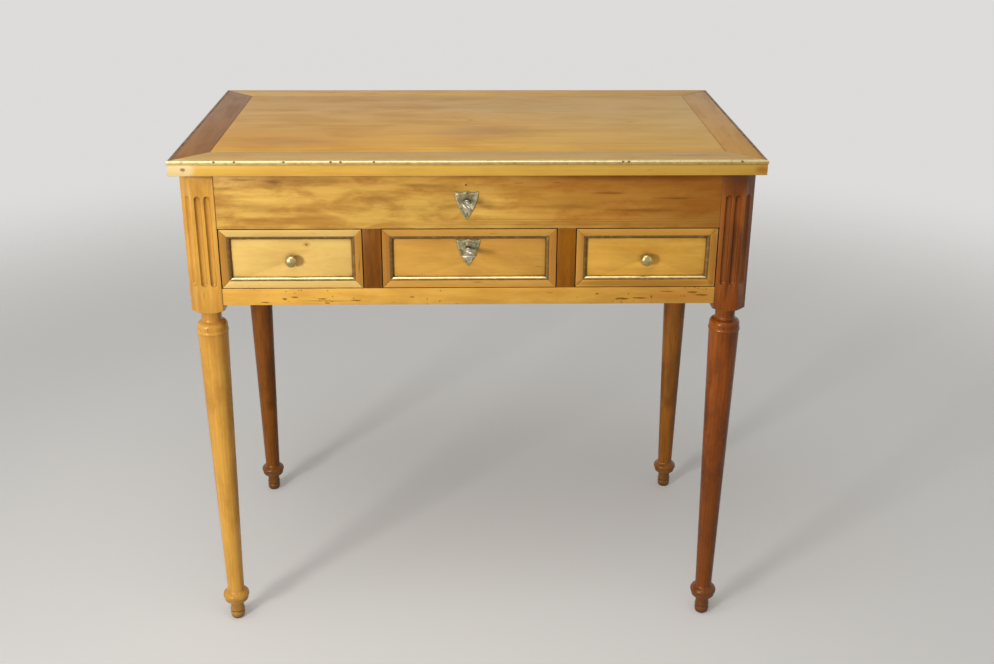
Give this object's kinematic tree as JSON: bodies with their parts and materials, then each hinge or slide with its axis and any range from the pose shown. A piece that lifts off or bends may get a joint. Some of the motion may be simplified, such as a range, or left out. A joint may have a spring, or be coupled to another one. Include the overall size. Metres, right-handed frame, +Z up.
{
  "type": "dressing table",
  "caption": "Cherry wood dressing table with fluted corner blocks, tapering turned legs, small drawers with brass beads, and a lid hinged over a shallow well.",
  "frame": {"origin": "on the floor, at the middle of the outline of the whole table with its keys in place", "axes": "+X to the viewer's right when facing the drawers, +Y to the back, +Z up"},
  "size_m": [0.8, 0.4956, 0.74],
  "materials": {
    "post_wood": "waxed cherry, satin",
    "case_wood": "waxed cherry, satin",
    "divider_wood": "waxed reddish cherry, satin",
    "drawer_wood": "waxed cherry, satin",
    "lid_wood": "waxed cherry, satin",
    "inner_wood": "unfinished secondary wood, matt",
    "brass": "aged, rubbed bright on the edges",
    "key_iron": "worn, polished by handling",
    "lock_iron": "dark, dull",
    "mirror_glass": "silvered glass"
  },
  "bodies": {
    "case": {"front_left_leg": "post_wood", "front_right_leg": "post_wood", "back_left_leg": "post_wood", "back_right_leg": "post_wood", "front_frieze": "case_wood", "front_bottom_rail": "case_wood", "left_divider": "divider_wood", "right_divider": "divider_wood", "left_side_panel": "case_wood", "right_side_panel": "case_wood", "back_panel": "case_wood", "well_floor": "inner_wood", "drawer_runners": "inner_wood", "drawer_stops": "inner_wood", "frieze_escutcheon": "brass", "frieze_escutcheon_pins": "brass", "frieze_lock_case": "lock_iron", "left_hinge_case_leaf": "brass", "right_hinge_case_leaf": "brass", "hinge_pins": "brass", "hinge_case_screws": "brass"},
    "lid": {"lid_panel": "lid_wood", "lid_front_rail": "lid_wood", "lid_back_rail": "lid_wood", "lid_left_rail": "lid_wood", "lid_right_rail": "lid_wood", "lid_brass_bead": "brass", "lid_mirror": "mirror_glass", "lid_mirror_frame": "lid_wood", "lid_lock_keeper": "lock_iron", "left_hinge_lid_leaf": "brass", "right_hinge_lid_leaf": "brass", "lid_screws": "brass"},
    "left_drawer": {"left_drawer_front": "drawer_wood", "left_drawer_moulding": "drawer_wood", "left_drawer_bead": "brass", "left_drawer_sides": "inner_wood", "left_drawer_back": "inner_wood", "left_drawer_bottom": "inner_wood", "left_drawer_knob": "brass"},
    "centre_drawer": {"centre_drawer_front": "drawer_wood", "centre_drawer_moulding": "drawer_wood", "centre_drawer_bead": "brass", "centre_drawer_sides": "inner_wood", "centre_drawer_back": "inner_wood", "centre_drawer_bottom": "inner_wood", "centre_drawer_escutcheon": "brass", "centre_drawer_escutcheon_pins": "brass", "centre_drawer_lock_case": "lock_iron"},
    "right_drawer": {"right_drawer_front": "drawer_wood", "right_drawer_moulding": "drawer_wood", "right_drawer_bead": "brass", "right_drawer_sides": "inner_wood", "right_drawer_back": "inner_wood", "right_drawer_bottom": "inner_wood", "right_drawer_knob": "brass"},
    "lid_key": {"lid_key": "key_iron"},
    "lid_bolt": {"lid_lock_bolt": "lock_iron"},
    "drawer_key": {"drawer_key": "key_iron"},
    "drawer_bolt": {"drawer_lock_bolt": "lock_iron"}
  },
  "joints": [
    {"name": "lid_hinge", "type": "hinge", "parent": "case", "child": "lid", "pos_m": [0, 0.24465, 0.71935], "axis": [-1, 0, 0], "range_deg": [0, 100]},
    {"name": "left_drawer_slide", "type": "slide", "parent": "case", "child": "left_drawer", "axis": [0, -1, 0], "range_m": [0, 0.29]},
    {"name": "centre_drawer_slide", "type": "slide", "parent": "case", "child": "centre_drawer", "axis": [0, -1, 0], "range_m": [0, 0.29]},
    {"name": "right_drawer_slide", "type": "slide", "parent": "case", "child": "right_drawer", "axis": [0, -1, 0], "range_m": [0, 0.29]},
    {"name": "lid_key_turn", "type": "hinge", "parent": "case", "child": "lid_key", "pos_m": [-0.0036, -0.21, 0.6812], "axis": [0, -1, 0], "range_deg": [0, 180]},
    {"name": "lid_bolt_slide", "type": "slide", "parent": "case", "child": "lid_bolt", "axis": [-1, 0, 0], "range_m": [0, 0.009]},
    {"name": "drawer_key_turn", "type": "hinge", "parent": "centre_drawer", "child": "drawer_key", "pos_m": [-0.0016, -0.205, 0.6121], "axis": [0, -1, 0], "range_deg": [0, 180]},
    {"name": "drawer_bolt_slide", "type": "slide", "parent": "centre_drawer", "child": "drawer_bolt", "axis": [0, 0, 1], "range_m": [0, 0.007]}
  ],
  "couplings": [
    {"joint": "lid_bolt_slide", "follows": "lid_key_turn", "m_per_rad": 0.00286},
    {"joint": "drawer_bolt_slide", "follows": "drawer_key_turn", "m_per_rad": 0.00222}
  ]
}
